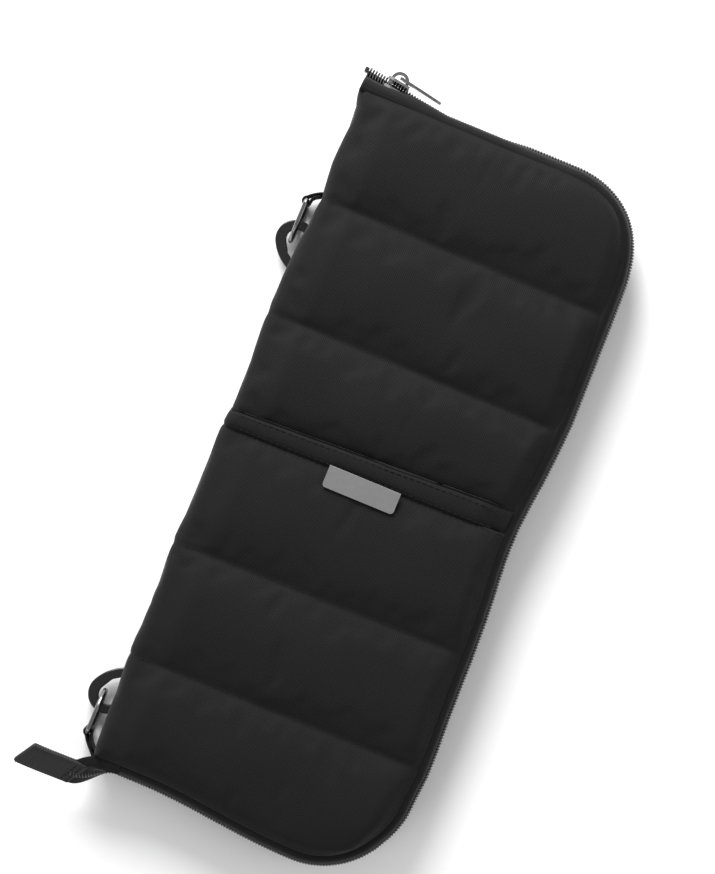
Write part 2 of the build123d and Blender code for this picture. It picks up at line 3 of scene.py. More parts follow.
import bpy
import numpy as np
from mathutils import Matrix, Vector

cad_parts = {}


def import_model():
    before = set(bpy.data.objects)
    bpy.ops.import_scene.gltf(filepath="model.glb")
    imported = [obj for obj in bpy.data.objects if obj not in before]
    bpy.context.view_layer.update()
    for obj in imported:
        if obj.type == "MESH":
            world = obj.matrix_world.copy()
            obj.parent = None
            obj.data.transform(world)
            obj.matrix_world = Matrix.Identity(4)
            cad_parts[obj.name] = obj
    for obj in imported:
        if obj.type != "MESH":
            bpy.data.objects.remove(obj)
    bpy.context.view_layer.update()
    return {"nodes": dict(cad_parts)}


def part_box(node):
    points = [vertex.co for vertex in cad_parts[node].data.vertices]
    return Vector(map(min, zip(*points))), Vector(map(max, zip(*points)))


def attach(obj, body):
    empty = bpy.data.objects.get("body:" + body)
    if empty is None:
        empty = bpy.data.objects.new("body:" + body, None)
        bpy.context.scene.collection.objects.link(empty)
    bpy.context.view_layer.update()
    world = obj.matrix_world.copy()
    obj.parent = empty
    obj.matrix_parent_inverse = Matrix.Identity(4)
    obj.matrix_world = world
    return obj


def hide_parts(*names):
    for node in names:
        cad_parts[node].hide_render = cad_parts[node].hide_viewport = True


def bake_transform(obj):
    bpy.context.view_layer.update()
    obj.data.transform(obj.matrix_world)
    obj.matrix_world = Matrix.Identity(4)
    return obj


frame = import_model()
nodes = frame["nodes"]

# Lengths are millimetres in the bag's own frame, X from the spine and Y from mid-length, until world()
# puts them in the row frame in metres.
MM = 0.001
front_lo, front_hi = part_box("front_shell")
SPINE_X = front_lo.x / MM - 0.4
MID_Y = (front_lo.y + front_hi.y) / 2 / MM

# The covers: their width, half their length and the radius of their corners.
WIDTH = 194.3
HALF = 229.0
CORNER = 50.5
# The zip's chain: its height, how far it runs outside the covers' edge, and X at its start above the
# spine's top and at its end on the bottom edge. Between KNEE_X and the spine it climbs away from the top.
CHAIN_Z = 23.9
CHAIN_OUT = 5.0
EAR_X = -0.5
ZIP_END_X = 22.0
KNEE_X = 56.0
ZIP_SLOPE = 0.1423
# The snap hooks: Y of the two rings' bars, X of the hooks' bends, how far they lie from the bars, and the
# angle of their shanks.
UPPER_BAR_Y = 151.5
LOWER_BAR_Y = -210.0
HOOK_X = -3.5
HOOK_REACH = 25.0
HOOK_TURN = math.radians(30)
# The seams' places at the spine and at the zip side, from the bottom edge to the top edge.
SEAMS = [(-229, -229), (-154, -152), (-78.5, -75.5), (1.5, 4.5), (77.5, 76.5), (156, 154), (229, 229)]
# The pocket's hem stands this far above the fourth seam, at the spine and at the zip side.
HEM = (10.5, 15.5)


def world(points):
    """Places in the bag's own frame, in millimetres, as places in the row frame, in metres."""
    return (np.asarray(points, float) + (SPINE_X, MID_Y, 0.0)) * MM


def smooth(t):
    """A smooth step from 0 to 1 while t goes from 0 to 1."""
    t = np.clip(t, 0.0, 1.0)
    return t * t * (3 - 2 * t)


def wander(a, b, seed):
    """An even, smooth unevenness from -1 to 1 over a surface, with features about one unit wide."""
    total = 0.0
    for i in range(5):
        turn = 1.7 * i + 0.9 * seed
        along = a * math.cos(turn) + b * math.sin(turn)
        total = total + np.sin(along * (2.1 + 0.55 * i) + 3.1 * seed + 1.3 * i * i)
    return total / 3.2


# ---------------------------------------------------------------- materials


def new_material(name, colour, roughness, metallic=0.0, sheen=0.0, coat=0.0, shine=0.5):
    material = bpy.data.materials.new(name)
    material.use_nodes = True
    shader = material.node_tree.nodes["Principled BSDF"]
    shader.inputs["Base Color"].default_value = (*colour, 1)
    shader.inputs["Roughness"].default_value = roughness
    shader.inputs["Metallic"].default_value = metallic
    shader.inputs["Sheen Weight"].default_value = sheen
    shader.inputs["Sheen Roughness"].default_value = 0.45
    shader.inputs["Specular IOR Level"].default_value = shine
    shader.inputs["Coat Weight"].default_value = coat
    shader.inputs["Coat Roughness"].default_value = 0.12
    return material, material.node_tree, shader


def add_node(tree, kind, **inputs):
    node = tree.nodes.new(kind)
    for key, value in inputs.items():
        node.inputs[key.replace("_", " ")].default_value = value
    return node


def coordinates(tree, source):
    return tree.nodes.new("ShaderNodeTexCoord").outputs[source]


def cloth(name, colour, pitch, roughness=0.7, sheen=0.04, bump=0.6, axis=None):
    """Woven cloth: warp and weft waves at the threads' pitch, uneven yarn and a little wear, with painted
    shade in the weave's hollows and a painted highlight on its threads.
    With an axis it has one set of waves, as ribbed webbing has."""
    material, tree, shader = new_material(name, colour, roughness, sheen=sheen, shine=0.15)
    where = coordinates(tree, "UV")
    link = tree.links.new
    waves = []
    for direction in ("X", "Y") if axis is None else (axis,):
        wave = add_node(tree, "ShaderNodeTexWave", Scale=math.pi / (10 * pitch * MM), Distortion=0.6)
        wave.bands_direction = direction
        link(where, wave.inputs["Vector"])
        waves.append(wave.outputs["Fac"])
    if len(waves) == 2:
        weave = tree.nodes.new("ShaderNodeMath")
        weave.operation = "MULTIPLY"
        link(waves[0], weave.inputs[0])
        link(waves[1], weave.inputs[1])
        height = weave.outputs[0]
    else:
        height = waves[0]
    yarn = add_node(tree, "ShaderNodeTexNoise", Scale=900.0, Detail=3.0)
    link(where, yarn.inputs["Vector"])
    cloud = add_node(tree, "ShaderNodeTexNoise", Scale=28.0, Detail=4.0)
    link(where, cloud.inputs["Vector"])
    mix = tree.nodes.new("ShaderNodeMix")
    mix.inputs["Factor"].default_value = 0.45
    link(height, mix.inputs["A"])
    link(yarn.outputs["Fac"], mix.inputs["B"])
    relief = add_node(tree, "ShaderNodeBump", Strength=bump, Distance=0.25 * MM)
    link(mix.outputs["Result"], relief.inputs["Height"])
    link(relief.outputs["Normal"], shader.inputs["Normal"])
    # The base colour follows the weave's height mixed with yarn noise: painted shade, darker in the hollows
    # between the threads, and a painted highlight, lighter on their tops; the yarn noise part is real
    # uneven tone.
    shade = tree.nodes.new("ShaderNodeMix")
    shade.data_type = "RGBA"
    link(mix.outputs["Result"], shade.inputs["Factor"])
    dark, light = (c * 0.42 for c in colour), (min(1, c * 1.9) for c in colour)
    shade.inputs["A"].default_value = (*dark, 1)
    shade.inputs["B"].default_value = (*light, 1)
    worn = tree.nodes.new("ShaderNodeMix")
    worn.data_type = "RGBA"
    worn.inputs["B"].default_value = (*(min(1, c * 1.25) for c in colour), 1)
    fade = add_node(tree, "ShaderNodeMapRange")
    fade.inputs["From Min"].default_value = 0.45
    fade.inputs["From Max"].default_value = 0.75
    fade.inputs["To Max"].default_value = 0.35
    link(cloud.outputs["Fac"], fade.inputs["Value"])
    link(fade.outputs["Result"], worn.inputs["Factor"])
    link(shade.outputs["Result"], worn.inputs["A"])
    link(worn.outputs["Result"], shader.inputs["Base Color"])
    return material


def solid(name, colour, low, high, metallic=0.0, coat=0.0, shine=0.5):
    """Metal or plastic: one colour, with its roughness from low to high and a faint relief from noise."""
    material, tree, shader = new_material(name, colour, low, metallic=metallic, coat=coat, shine=shine)
    where = coordinates(tree, "Object")
    link = tree.links.new
    noise = add_node(tree, "ShaderNodeTexNoise", Scale=400.0, Detail=4.0)
    link(where, noise.inputs["Vector"])
    spread = add_node(tree, "ShaderNodeMapRange")
    spread.inputs["To Min"].default_value = low
    spread.inputs["To Max"].default_value = high
    link(noise.outputs["Fac"], spread.inputs["Value"])
    link(spread.outputs["Result"], shader.inputs["Roughness"])
    relief = add_node(tree, "ShaderNodeBump", Strength=0.08, Distance=0.1 * MM)
    link(noise.outputs["Fac"], relief.inputs["Height"])
    link(relief.outputs["Normal"], shader.inputs["Normal"])
    return material


nylon = cloth("quilted_nylon", (0.0051, 0.0051, 0.0055), 1.15, bump=1.1)
hem_nylon = cloth("hem_nylon", (0.0049, 0.0049, 0.0053), 1.15, bump=1.1)
lining_cloth = cloth("lining_cloth", (0.009, 0.009, 0.0098), 0.6, roughness=0.6, sheen=0.03, bump=0.3)
tape_cloth = cloth("tape_cloth", (0.0036, 0.0036, 0.0039), 1.3, bump=0.5)
strap_web = cloth("strap_web", (0.011, 0.011, 0.012), 1.5, bump=0.9)
tab_web = cloth("tab_web", (0.019, 0.019, 0.02), 1.7, bump=1.1, axis="X")
thread = solid("thread", (0.006, 0.006, 0.0065), 0.6, 0.8, shine=0.15)
coil_nylon = solid("coil_nylon", (0.012, 0.012, 0.013), 0.3, 0.42, shine=0.45)
dark_nickel = solid("dark_nickel", (0.2, 0.2, 0.204), 0.28, 0.42, metallic=1.0)
bright_nickel = solid("bright_nickel", (0.34, 0.34, 0.337), 0.2, 0.32, metallic=1.0)
puller_nickel = solid("puller_nickel", (0.22, 0.22, 0.218), 0.2, 0.32, metallic=1.0)
black_nickel = solid("black_nickel", (0.2, 0.2, 0.204), 0.18, 0.3, metallic=1.0)
acetal = solid("acetal", (0.0075, 0.0075, 0.008), 0.22, 0.32, coat=0.15, shine=0.35)
plate = solid("plate", (0.3, 0.3, 0.305), 0.32, 0.45, metallic=0.85)


# ---------------------------------------------------------------- meshes


def linked(name, data):
    """A new object in the scene with this data."""
    made = bpy.data.objects.new(name, data)
    bpy.context.scene.collection.objects.link(made)
    return made


def mesh_object(name, points, faces, material, uv=None):
    """A smooth-shaded piece, from places and UVs in millimetres and faces as a list or an array."""
    mesh = bpy.data.meshes.new(name)
    mesh.from_pydata(world(points).tolist(), [], faces if isinstance(faces, list) else faces.tolist())
    mesh.update()
    mesh.shade_smooth()
    if uv is not None:
        layer = mesh.uv_layers.new(name="UVMap")
        corner = np.zeros(len(mesh.loops), int)
        mesh.loops.foreach_get("vertex_index", corner)
        layer.data.foreach_set("uv", (np.asarray(uv, float)[corner] * MM).ravel())
    mesh.materials.append(material)
    return linked(name, mesh)


def grid_faces(rows, cols, flip=False, wrap=False):
    """Quads over a grid of points, given row by row. With wrap the last column meets the first."""
    r, c = np.meshgrid(np.arange(rows - 1), np.arange(cols if wrap else cols - 1), indexing="ij")
    a = (r * cols + c).ravel()
    b = (r * cols + (c + 1) % cols).ravel()
    quads = np.stack([a, b, b + cols, a + cols], 1)
    return quads[:, ::-1] if flip else quads


def with_modifier(piece, kind, **settings):
    modifier = piece.modifiers.new(kind.title(), kind)
    for key, value in settings.items():
        setattr(modifier, key, value)
    return modifier


def apply_modifiers(piece):
    """The piece's mesh becomes what its modifiers make of it."""
    scene_graph = bpy.context.evaluated_depsgraph_get()
    made = bpy.data.meshes.new_from_object(piece.evaluated_get(scene_graph))
    piece.modifiers.clear()
    piece.data = made
    return piece


def thicken(piece, thick, offset=-1.0, subdivide=False):
    """Gives a sheet its thickness, after one subdivision if that's asked for."""
    if subdivide:
        with_modifier(piece, "SUBSURF", levels=1, render_levels=1)
    with_modifier(piece, "SOLIDIFY", thickness=thick * MM, offset=offset)
    return apply_modifiers(piece)


def grid_object(name, xyz, material, uv, flip=False):
    """A sheet over a grid, from arrays of its X, Y and Z and of its two UVs."""
    points, uv = np.stack(xyz, 2).reshape(-1, 3), np.stack(uv, 2).reshape(-1, 2)
    return mesh_object(name, points, grid_faces(*xyz[0].shape, flip=flip), material, uv)


def coords(piece):
    """The piece's points in the bag's own frame."""
    values = np.zeros(len(piece.data.vertices) * 3)
    piece.data.vertices.foreach_get("co", values)
    return values.reshape(-1, 3) / MM - (SPINE_X, MID_Y, 0.0)


def set_coords(piece, points):
    piece.data.vertices.foreach_set("co", world(points).ravel())
    piece.data.update()


CLOTH_FRAMES = 20
CLOTH_PRESSURE = 4.0
CLOTH_SPARE = 0.006


def inflate(piece, pinned, cap):
    """Cloth simulation: the free cloth has some spare width and is blown up between its pinned seams.
    No point ends further than cap from where it started."""
    before = coords(piece)
    group = piece.vertex_groups.new(name="pin")
    group.add([int(i) for i in np.flatnonzero(pinned)], 1.0, "REPLACE")
    modifier = with_modifier(piece, "CLOTH")
    settings = modifier.settings
    settings.quality = 6
    settings.mass = 0.25
    settings.tension_stiffness = 20
    settings.compression_stiffness = 20
    settings.shear_stiffness = 8
    settings.bending_stiffness = 4.0
    settings.shrink_min = -CLOTH_SPARE
    settings.use_pressure = True
    settings.uniform_pressure_force = CLOTH_PRESSURE
    settings.effector_weights.gravity = 0
    settings.vertex_group_mass = "pin"
    modifier.point_cache.frame_start = 1
    modifier.point_cache.frame_end = CLOTH_FRAMES
    for step in range(1, CLOTH_FRAMES + 1):
        bpy.context.scene.frame_set(step)
    apply_modifiers(piece)
    bpy.context.scene.frame_set(1)
    move = coords(piece) - before
    far = np.linalg.norm(move, axis=1, keepdims=True)
    set_coords(piece, before + move * np.minimum(1.0, cap / np.maximum(far, 1e-6)))


# ---------------------------------------------------------------- the panels' outline


def waist(y):
    """How far the zip side is drawn in at its waist."""
    return 2.5 * (1 + np.cos(np.pi * np.clip(np.abs(y + 8) / 150, 0, 1)))


def bow(x):
    """How far the bottom edge rises towards the spine."""
    rise = np.clip((WIDTH - CORNER - x) / (WIDTH - CORNER - 35), 0, 1)
    return 3.75 * (1 - np.cos(np.pi * rise))


def onto_panel(x, y, grow=0.0):
    """Places of a plain rectangle moved onto the rounded, waisted outline, grow outside its edge."""
    c, right, half = CORNER + grow, WIDTH + grow, HALF + grow
    u = np.clip((x - right + c) / c, 0, 1)
    v = np.clip((np.abs(y) - half + c) / c, 0, 1)
    px = np.where(x > right - c, right - c + c * u * np.sqrt(1 - v * v / 2), x)
    py = np.where(np.abs(y) > half - c, half - c + c * v * np.sqrt(1 - u * u / 2), np.abs(y))
    py = np.sign(y) * py
    low = smooth((-py - 150) / 79)
    return px - waist(py) * np.clip(px / WIDTH, 0, 1) ** 2, py + bow(px) * low


def run_along(points):
    """How far along the line each of its points is."""
    return np.concatenate([[0], np.cumsum(np.linalg.norm(np.diff(points, axis=0), axis=1))])


def resample(points, spacing):
    """The same line with points at an even spacing."""
    run = run_along(points)
    wanted = np.linspace(0, run[-1], int(run[-1] / spacing) + 1)
    return np.stack([np.interp(wanted, run, points[:, i]) for i in range(points.shape[1])], 1)


def outward(points):
    """Unit normals to the left of the way round, which is outward for the zip side."""
    along = np.gradient(points[:, :2], axis=0)
    along /= np.linalg.norm(along, axis=1, keepdims=True)
    return np.stack([-along[:, 1], along[:, 0]], 1)


def panel_edge(start_x, end_x, spacing):
    """The panels' edge from the spine's top round the zip side to the bottom."""
    top = [(x, HALF) for x in np.linspace(start_x, WIDTH, 300)]
    side = [(WIDTH, y) for y in np.linspace(HALF, -HALF, 600)[1:]]
    bottom = [(x, -HALF) for x in np.linspace(WIDTH, end_x, 300)[1:]]
    flat = np.array(top + side + bottom)
    x, y = onto_panel(flat[:, 0], flat[:, 1])
    return resample(np.stack([x, y], 1), spacing)


edge = panel_edge(EAR_X, ZIP_END_X, 1.0)
edge_out = outward(edge)


def climb(x, y):
    """How far the chain has climbed from the top edge."""
    return np.where(y > 0, np.clip(KNEE_X - x, 0, None) * ZIP_SLOPE, 0.0)


chain = edge + edge_out * CHAIN_OUT
chain[:, 1] += climb(chain[:, 0], chain[:, 1])


# ---------------------------------------------------------------- quilted panels


def seam_y(index, x):
    """Y of a seam at X."""
    left, right = SEAMS[index]
    return left + (right - left) * np.clip(x / WIDTH, 0, 1)


def hem_high(x):
    """How far the pocket's hem stands above the fourth seam at X."""
    return HEM[0] + (HEM[1] - HEM[0]) * np.clip(x / WIDTH, 0, 1)


# How far the cloth is drawn in along the spine, and let out along the zip side, at stations along the bag.
SPINE_Y = [-233, -226, -212, -180, -164, -150, -135, -105, -76, -60, -40, -20, 0, 20, 44, 60, 78, 92]
SPINE_Y += [116, 140, 164, 180, 204, 218, 225, 229]
SPINE_IN = [3.5, 5.8, 6.6, 6.4, 4.6, 3.0, 4.6, 4.6, 1.8, 3.9, 4.2, 3.9, 2.3, 4.4, 4.6, 3.0, 1.0, 2.2]
SPINE_IN += [3.4, 4.9, 5.2, 4.4, 5.6, 4.2, 1.4, 0.0]
SIDE_Y = [-232, -204, -188, -172, -156, -140, -116, -92, -76, -52, -36, -20, -4, 12, 28, 44, 60, 84]
SIDE_Y += [100, 116, 132, 156, 172, 188, 204, 220, 232]
SIDE_OUT = [-1.5, -2.0, -0.6, 0.4, 1.8, 1.8, 1.4, 2.0, 2.6, 2.8, 2.3, 1.2, 0.4, 0.4, 1.4, 2.6, 3.1, 3.2]
SIDE_OUT += [2.2, 1.4, 0.8, 0.4, 0.0, -0.8, 0.0, 1.4, 1.8]


def drawn_in(piece, spine=True):
    """Draws a finished piece in along the spine, and lets it out along the zip side, as the cloth lies."""
    points = coords(piece)
    y = points[:, 1]
    if spine:
        points[:, 0] += np.interp(y, SPINE_Y, SPINE_IN) * (1 - smooth((points[:, 0] + 5) / 36))
    points[:, 0] += np.interp(y, SIDE_Y, SIDE_OUT) * smooth((points[:, 0] - 120) / 62)
    set_coords(piece, points)


# The quilts' mesh: the spacing along its rows and the rows of each channel. The cloth falls to the panel's
# edge, and is pinned and flattens, within these distances of it.
QUILT_STEP = 3.0
QUILT_ROWS = 26
EDGE_FALL = 6.0
EDGE_PINNED = 4.0
EDGE_FLATTEN = 13.0
FAR_AWAY = 1e3


def gather(piece, first, last, up, right, spine_x):
    """Folds run out from each seam, where the thread pulls the cloth in, and the cloth is a bit uneven."""
    points = coords(piece)
    near = np.full(len(points), FAR_AWAY)
    for i in range(max(first, 1), min(last, 5) + 1):
        near = np.minimum(near, np.abs(points[:, 1] - seam_y(i, points[:, 0])))
    fold = wander(points[:, 0] / 7.5, points[:, 1] / 30 + points[:, 2] / 9, 3) * np.exp(-near / 7.0)
    ease = smooth(near / 1.5) * smooth((right - points[:, 0]) / 12)
    on_top = smooth((points[:, 0] - spine_x) / 8.0)
    points[:, 2] += up * 0.16 * fold * ease * on_top
    points[:, 0] -= 0.3 * fold * ease * (1 - on_top)
    uneven = wander(points[:, 0] / 26, points[:, 1] / 26, 5 + first)
    points[:, 2] += up * 0.16 * uneven * smooth(near / 12) * on_top * smooth((right - points[:, 0]) / 12)
    set_coords(piece, points)


def quilt(name, first, last, up, valley_z, puff, edge_z, inset, spine_x, spine_z, spine_puff, round_r, cap):
    """A quilted panel from the spine to the zip side: up is 1 for the front and -1 for the back.
    Its channels run from the seam first to the seam last, with their valleys at valley_z and the panel's
    edge at edge_z. It starts on the spine at spine_z, turns over the edge with radius round_r, and puffs
    between the seams, by puff on top and by spine_puff on the spine."""
    rows = [(c, k / QUILT_ROWS) for c in range(first, last) for k in range(QUILT_ROWS)] + [(last - 1, 1.0)]
    turn_z = valley_z - up * round_r
    rise = abs(turn_z - spine_z)
    turn_u = round_r * math.pi / 2
    right = WIDTH - inset
    length = rise + turn_u + right - spine_x - round_r
    us = np.linspace(-rise, length - rise, int(length / QUILT_STEP) + 1)
    channel = np.array([c for c, _ in rows])
    u, part = np.meshgrid(us, [share for _, share in rows])
    angle = np.clip(u, 0, turn_u) / round_r
    flat_u = np.clip(u - turn_u, 0, None)
    x = spine_x + round_r * (1 - np.cos(angle)) + flat_u
    z = spine_z + up * np.clip(u + rise, 0, rise) + up * round_r * np.sin(angle)
    y = np.zeros_like(x)
    for c in range(first, last):
        mine = channel == c
        low, high = seam_y(c, x[mine]), seam_y(c + 1, x[mine])
        if c == 3 and first == 3:
            low = low + hem_high(x[mine]) - 2.5
        y[mine] = low + (high - low) * part[mine]
    y = np.clip(y, -HALF + inset, HALF - inset * (last == 6))
    end_gap = np.full_like(x, FAR_AWAY)
    if first == 0:
        end_gap = np.minimum(end_gap, y + HALF - inset)
    if last == 6:
        end_gap = np.minimum(end_gap, HALF - y)
    gap = np.minimum(right - x, end_gap)
    px, py = onto_panel(x, y, -inset)
    z = z + (edge_z - valley_z) * (1 - smooth(gap / EDGE_FALL)) * (angle > 1.5)
    shape = (4 * part * (1 - part)) ** 0.62
    shape = shape * smooth((right - x) / EDGE_FLATTEN) ** 0.7
    high = spine_puff + (puff - spine_puff) * smooth((flat_u + 4) / 26.0)
    size = high * shape * (1 + 0.10 * wander(px / 45, py / 45, first + up))
    nx, nz = -np.cos(angle), up * np.sin(angle)
    piece = grid_object(name, [px + nx * size, py, z + nz * size], nylon, [u, py], flip=up < 0)
    pinned = (part == 0) | (part == 1) | (gap < EDGE_PINNED)
    pinned |= (u <= us[0] + 0.1) | (u >= us[-1] - 0.1)
    inflate(piece, pinned.ravel(), cap)
    with_modifier(piece, "SUBSURF", levels=1, render_levels=1)
    apply_modifiers(piece)
    gather(piece, first, last, up, right, spine_x)
    return piece


STITCH_LONG, STITCH_WIDE, STITCH_TALL = 3.2, 0.55, 0.45
STITCH_GAP = 1.0
STITCH_SLOPE = 0.6


def seam_stitches(name, lines):
    """Rows of short raised stitches, each a small flattened block with sloping ends."""
    points, faces = [], []
    for line in lines:
        run = resample(np.asarray(line, float), STITCH_LONG + STITCH_GAP)
        for a, b in zip(run[:-1], run[1:]):
            d = (b - a) / max(np.linalg.norm(b - a), 1e-6)
            side = np.cross(d, (0, 0, 1))
            side /= max(np.linalg.norm(side), 1e-6)
            lift = np.cross(side, d)
            e = a + d * STITCH_LONG
            slope = d * STITCH_SLOPE
            base = len(points)
            for p, q in ((a, 0.15), (a + slope, 1.0), (e - slope, 1.0), (e, 0.15)):
                points.append(p - side * STITCH_WIDE / 2)
                points.append(p + lift * STITCH_TALL * q)
                points.append(p + side * STITCH_WIDE / 2)
            for k in range(3):
                i = base + 3 * k
                faces += [(i, i + 3, i + 4, i + 1), (i + 1, i + 4, i + 5, i + 2)]
    return mesh_object(name, points, faces, thread)


FRONT_VALLEY, FRONT_PUFF = 37.2, 6.0
POCKET_VALLEY, POCKET_PUFF = 40.0, 5.5
POCKET_INSET = 0.4
BACK_VALLEY, BACK_PUFF = 6.6, 2.3
front_quilt = quilt(
    "front_quilt", 3, 6, 1, FRONT_VALLEY, FRONT_PUFF, edge_z=36.7, inset=0.0,
    spine_x=-1.8, spine_z=11.4, spine_puff=1.7, round_r=5.0, cap=0.5,
)
pocket_quilt = quilt(
    "pocket_quilt", 0, 3, 1, POCKET_VALLEY, POCKET_PUFF, edge_z=37.5, inset=POCKET_INSET,
    spine_x=-2.7, spine_z=11.4, spine_puff=1.5, round_r=6.0, cap=0.4,
)
back_quilt = quilt(
    "back_quilt", 0, 6, -1, BACK_VALLEY, BACK_PUFF, edge_z=11.0, inset=0.0,
    spine_x=-1.8, spine_z=11.9, spine_puff=0.3, round_r=4.0, cap=0.8,
)

# Hollows are pressed into the back: a disc over each snap hook's bend, and a room along its shank and the
# strap's start. No point of the back lies lower than LOWEST_Z.
HOLLOW_Z = 11.3
DISC_R = 15.4
ROOM_HALF = 16.4
ROOM_FROM, ROOM_TO = -2, 93
LOWEST_Z = 4.05
points = coords(back_quilt)
for side, bar_y in ((1, UPPER_BAR_Y), (-1, LOWER_BAR_Y)):
    centre = np.array([HOOK_X, bar_y - side * HOOK_REACH])
    along = np.array([math.sin(HOOK_TURN), -side * math.cos(HOOK_TURN)])
    rel = points[:, :2] - centre
    forth = rel @ along
    off = np.abs(rel[:, 0] * along[1] - rel[:, 1] * along[0])
    to_disc = np.linalg.norm(rel, axis=1) - DISC_R
    to_room = np.maximum(off - ROOM_HALF, np.maximum(ROOM_FROM - forth, forth - ROOM_TO))
    inside = 1 - smooth((np.minimum(to_disc, to_room) + 0.3) / 2.5)
    points[:, 2] += (HOLLOW_Z - points[:, 2]) * inside * (points[:, 2] < HOLLOW_Z)
points[:, 2] = np.maximum(points[:, 2], LOWEST_Z)
set_coords(back_quilt, points)

# ---------------------------------------------------------------- pocket backing, hem and stitches

backing_x = np.linspace(0.6, WIDTH, 66)
backing_y = np.linspace(-HALF, 15.0, 82)
bx, by = np.meshgrid(backing_x, backing_y)
px, py = onto_panel(bx, by)
rim = np.minimum(WIDTH - bx, by + HALF)
bz = 36.7 + 0.6 * smooth(rim / 3.0)
backing = grid_object("pocket_backing", [px, py, bz], nylon, [bx, by])

# The hem's band runs over the pocket, turns down the spine with radius HEM_R and hangs HEM_DROP there.
HEM_Z, HEM_X, HEM_R = 42.4, -3.0, 6.0
HEM_DROP = 29.5
hem_us = np.linspace(-HEM_DROP, 200.0, 122)
hem_shares = np.array([-0.08, -0.03, 0.05, 0.2, 0.4, 0.6, 0.78, 0.9, 0.96, 1.0, 0.995])
hu, hv = np.meshgrid(hem_us, hem_shares)
turn_u = HEM_R * math.pi / 2
hem_right = WIDTH - POCKET_INSET
keep = int(((HEM_X + HEM_R + np.clip(hem_us - turn_u, 0, None)) <= hem_right).sum())
hu, hv = hu[:, :keep], hv[:, :keep]
angle = np.clip(hu, 0, turn_u) / HEM_R
hx = HEM_X + HEM_R * (1 - np.cos(angle)) + np.clip(hu - turn_u, 0, None)
hz = HEM_Z - HEM_R + np.clip(hu, None, 0) + HEM_R * np.sin(angle)
hy = seam_y(3, hx) + hv * hem_high(hx)
body = np.interp(hv[:, 0], [-0.08, -0.03, 0.1, 0.5, 0.9, 1.0], [-2.2, -1.2, 0.2, 0.7, 0.2, -1.0])[:, None]
body = body + 0.2 * wander(hx / 16, hy / 14, 8) * smooth((hv + 0.1) / 0.3)
end = smooth((hem_right - hx) / 24.0)
px, py = onto_panel(hx, hy, -POCKET_INSET)
px = px - np.cos(angle) * body
pz = hz + np.sin(angle) * body - (1 - end) * 5.0
pocket_hem = grid_object("pocket_hem", [px, py, pz], hem_nylon, [hu, hy])
thicken(front_quilt, 1.2)
thicken(pocket_quilt, 1.2)
thicken(back_quilt, 1.0)
thicken(backing, 0.8)
thicken(pocket_hem, 1.4)

hem_lines = []
for share, lift in ((0.82, 0.3), (0.06, 0.0)):
    xs = np.linspace(5, 180, 90)
    ys = seam_y(3, xs) + share * hem_high(xs)
    hem_lines.append(np.stack([xs, ys, np.full_like(xs, HEM_Z + lift)], 1))
hem_stitches = seam_stitches("hem_stitches", hem_lines)
seam_lines = []
for i, level in ((1, POCKET_VALLEY), (2, POCKET_VALLEY), (4, FRONT_VALLEY), (5, FRONT_VALLEY)):
    xs = np.linspace(5, 184, 90)
    sx, sy = onto_panel(xs, seam_y(i, xs))
    seam_lines.append(np.stack([sx, sy, np.full_like(sx, level + 0.15)], 1))
front_stitches = seam_stitches("seam_stitches", seam_lines)

# ---------------------------------------------------------------- zip tapes and coil

# Past the slider's corner both tapes turn in and are sewn to the spine here.
SEWN_X, SEWN_Y = -0.8, HALF - 1.2
# One at the slider's corner, where the chain lies over on its side, and falling to zero by LEAN_FROM.
LEAN_FROM = KNEE_X - 16
near_ear = smooth((LEAN_FROM - chain[:, 0]) / 30) * (chain[:, 1] > 0)


def zip_tape(name, up):
    """The tape from under the panel's edge, out over the rim and down to the coil."""
    inner = edge - edge_out * 2.0
    shares = np.array([0.0, 0.42, 0.68, 0.85, 0.93, 0.95])
    heights = np.array([12.4, 12.7, 11.6, 9.2, 6.6, 3.2])
    tape = []
    for share, height in zip(shares, heights):
        drawn = near_ear * np.interp(share, [0.4, 0.95], [0.0, 0.27]) * (up > 0)
        place = inner + (chain - inner) * (share - drawn)[:, None]
        tape.append(np.column_stack([place, np.full(len(place), CHAIN_Z + up * height)]))
    tape = np.stack(tape, 1)
    run = run_along(edge)
    ripple = 0.25 * wander(run / 14, run * 0, 4 + up)[:, None] * np.array([0, 0.3, 1, 1, 0.4, 0])
    tape[:, :, 2] += ripple
    sewn = tape[0].copy()
    sewn[:, :2] = SEWN_X, SEWN_Y
    tape = np.concatenate([[sewn + (tape[0] - sewn) * share for share in (0.0, 0.35, 0.7)], tape])
    run = np.concatenate([[-7.0, -5.0, -2.5], run])
    across = np.array([0, 3.5, 5.6, 8.2, 11.0, 14.4])
    uv = np.meshgrid(across, run)
    piece = grid_object(name, np.moveaxis(tape, 2, 0), tape_cloth, uv, flip=up < 0)
    return thicken(piece, 0.7, subdivide=True)


COIL_PITCH = 1.9
COIL_WIRE = 0.52


